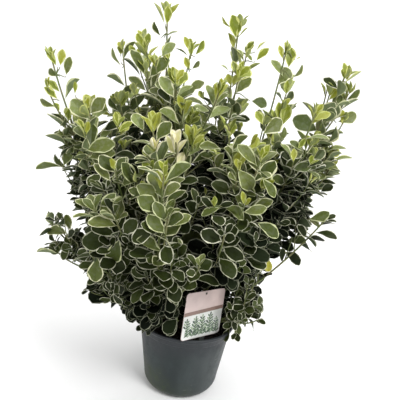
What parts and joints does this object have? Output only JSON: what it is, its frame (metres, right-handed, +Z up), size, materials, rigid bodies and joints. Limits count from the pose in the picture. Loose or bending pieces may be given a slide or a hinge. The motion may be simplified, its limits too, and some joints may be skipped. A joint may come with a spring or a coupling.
{
  "type": "potted euonymus",
  "caption": "Bushy variegated evergreen shrub with upright leafy shoots, in a round dark plastic nursery pot with a care card on a stake.",
  "frame": {"origin": "centre of the pot's flat underside, on the surface that the pot stands on", "axes": "+Z up along the pot's axis, -Y towards the viewer of the picture (the side with the card), +X to the viewer's right"},
  "size_m": [0.7249, 0.6445, 0.8806],
  "materials": {
    "pot_plastic": "satin moulded plastic with scuffs",
    "compost": "rough, fibrous",
    "old_bark": "rough old bark",
    "bark": "smooth green to brown bark",
    "leaves": "waxy leaf, green with a cream margin",
    "card_print": "printed satin plastic",
    "stake_plastic": "dull dark plastic"
  },
  "bodies": {
    "root": {"pot": "pot_plastic", "compost": "compost", "crown_stem": "old_bark", "care_card": "card_print", "card_stake": "stake_plastic", "bough_top_left": "bark", "bough_top_right": "bark", "bough_upper_left": "bark", "bough_upper_middle": "bark", "bough_upper_right": "bark", "bough_far_right_high": "bark", "bough_far_left_high": "bark", "bough_left_shoulder": "bark", "bough_right_shoulder": "bark", "bough_front_tall": "bark", "bough_front_right": "bark", "bough_right_side": "bark", "bough_front_left": "bark", "bough_left_side": "bark", "bough_left_low": "bark", "bough_right_low": "bark", "bough_right_foot": "bark", "bough_front_low": "bark", "bough_left_foot": "bark", "bough_front_left_low": "bark", "bough_back_high": "bark", "bough_back_right_high": "bark", "bough_back_left_high": "bark", "bough_back_middle": "bark", "bough_back_right": "bark", "bough_back_left": "bark", "bough_back_low": "bark", "top_left": "leaves", "top_right": "leaves", "upper_left": "leaves", "upper_middle": "leaves", "upper_right": "leaves", "far_right_high": "leaves", "far_left_high": "leaves", "left_shoulder": "leaves", "right_shoulder": "leaves", "front_tall": "leaves", "front_right": "leaves", "right_side": "leaves", "front_left": "leaves", "left_side": "leaves", "left_low": "leaves", "right_low": "leaves", "right_foot": "leaves", "front_low": "leaves", "left_foot": "leaves", "front_left_low": "leaves", "back_high": "leaves", "back_right_high": "leaves", "back_left_high": "leaves", "back_middle": "leaves", "back_right": "leaves", "back_left": "leaves", "back_low": "leaves"}
  },
  "joints": []
}
